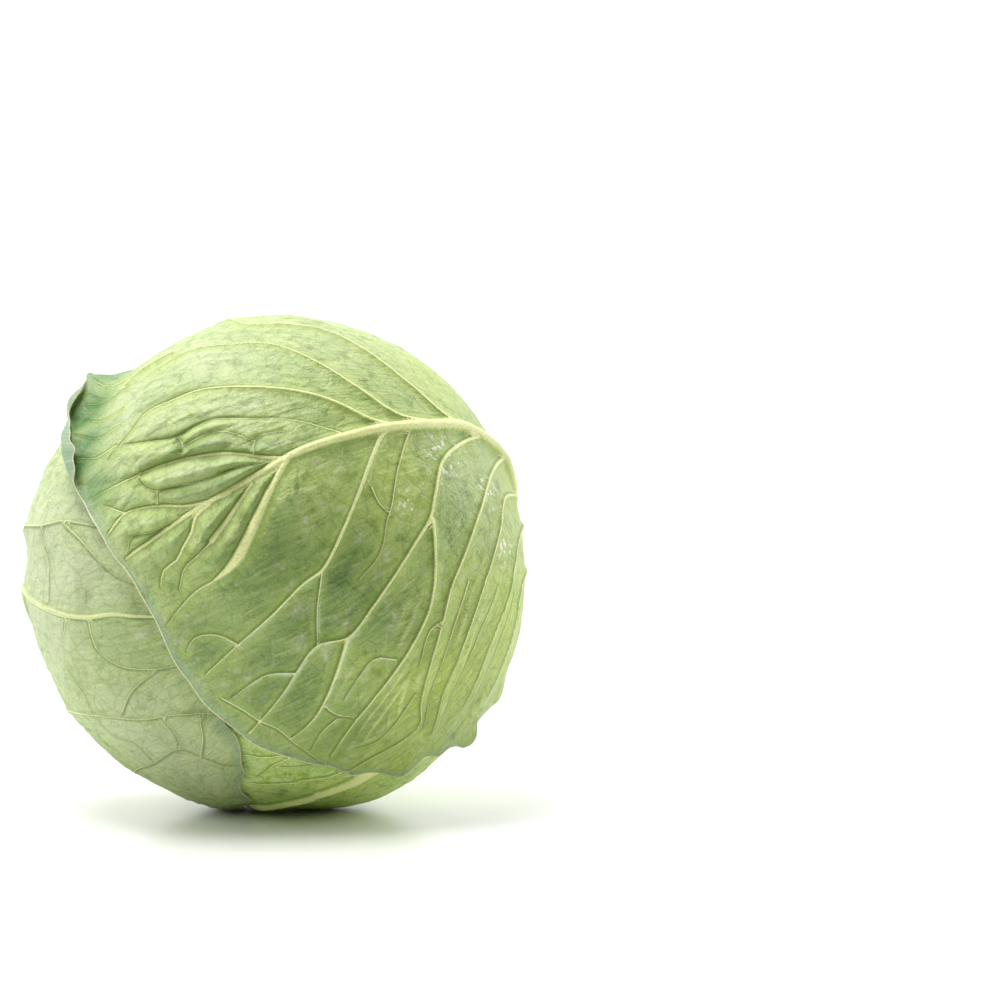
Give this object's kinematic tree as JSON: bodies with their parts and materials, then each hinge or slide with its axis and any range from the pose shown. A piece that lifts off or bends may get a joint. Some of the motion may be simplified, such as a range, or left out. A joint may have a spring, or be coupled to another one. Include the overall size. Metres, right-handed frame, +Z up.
{
  "type": "cabbage head",
  "caption": "Round white cabbage head lying on its side, with ribbed wrapper leaves in layers over a packed heart and a short cut stem.",
  "frame": {"origin": "on the surface the head rests on, under the middle of its bounding box", "axes": "+Z up, -Y towards the side on which the large front leaf faces, +X towards the side with the cut stem"},
  "size_m": [0.2008, 0.2009, 0.1982],
  "materials": {
    "outer_leaf": "waxy satin, yellow-green with pale raised ribs",
    "bloomed_leaf": "waxy satin, grey-green with bluish bloom",
    "inner_leaf": "satin, light yellow-green",
    "heart": "satin, pale yellow-green",
    "cut_stem": "matte, dried cut face, pale cream to light brown"
  },
  "bodies": {
    "root": {"leaf_front": "outer_leaf", "leaf_left": "bloomed_leaf", "leaf_back_top": "outer_leaf", "leaf_bottom": "inner_leaf", "leaf_back": "bloomed_leaf", "heart": "heart", "stem_stump": "cut_stem"}
  },
  "joints": []
}
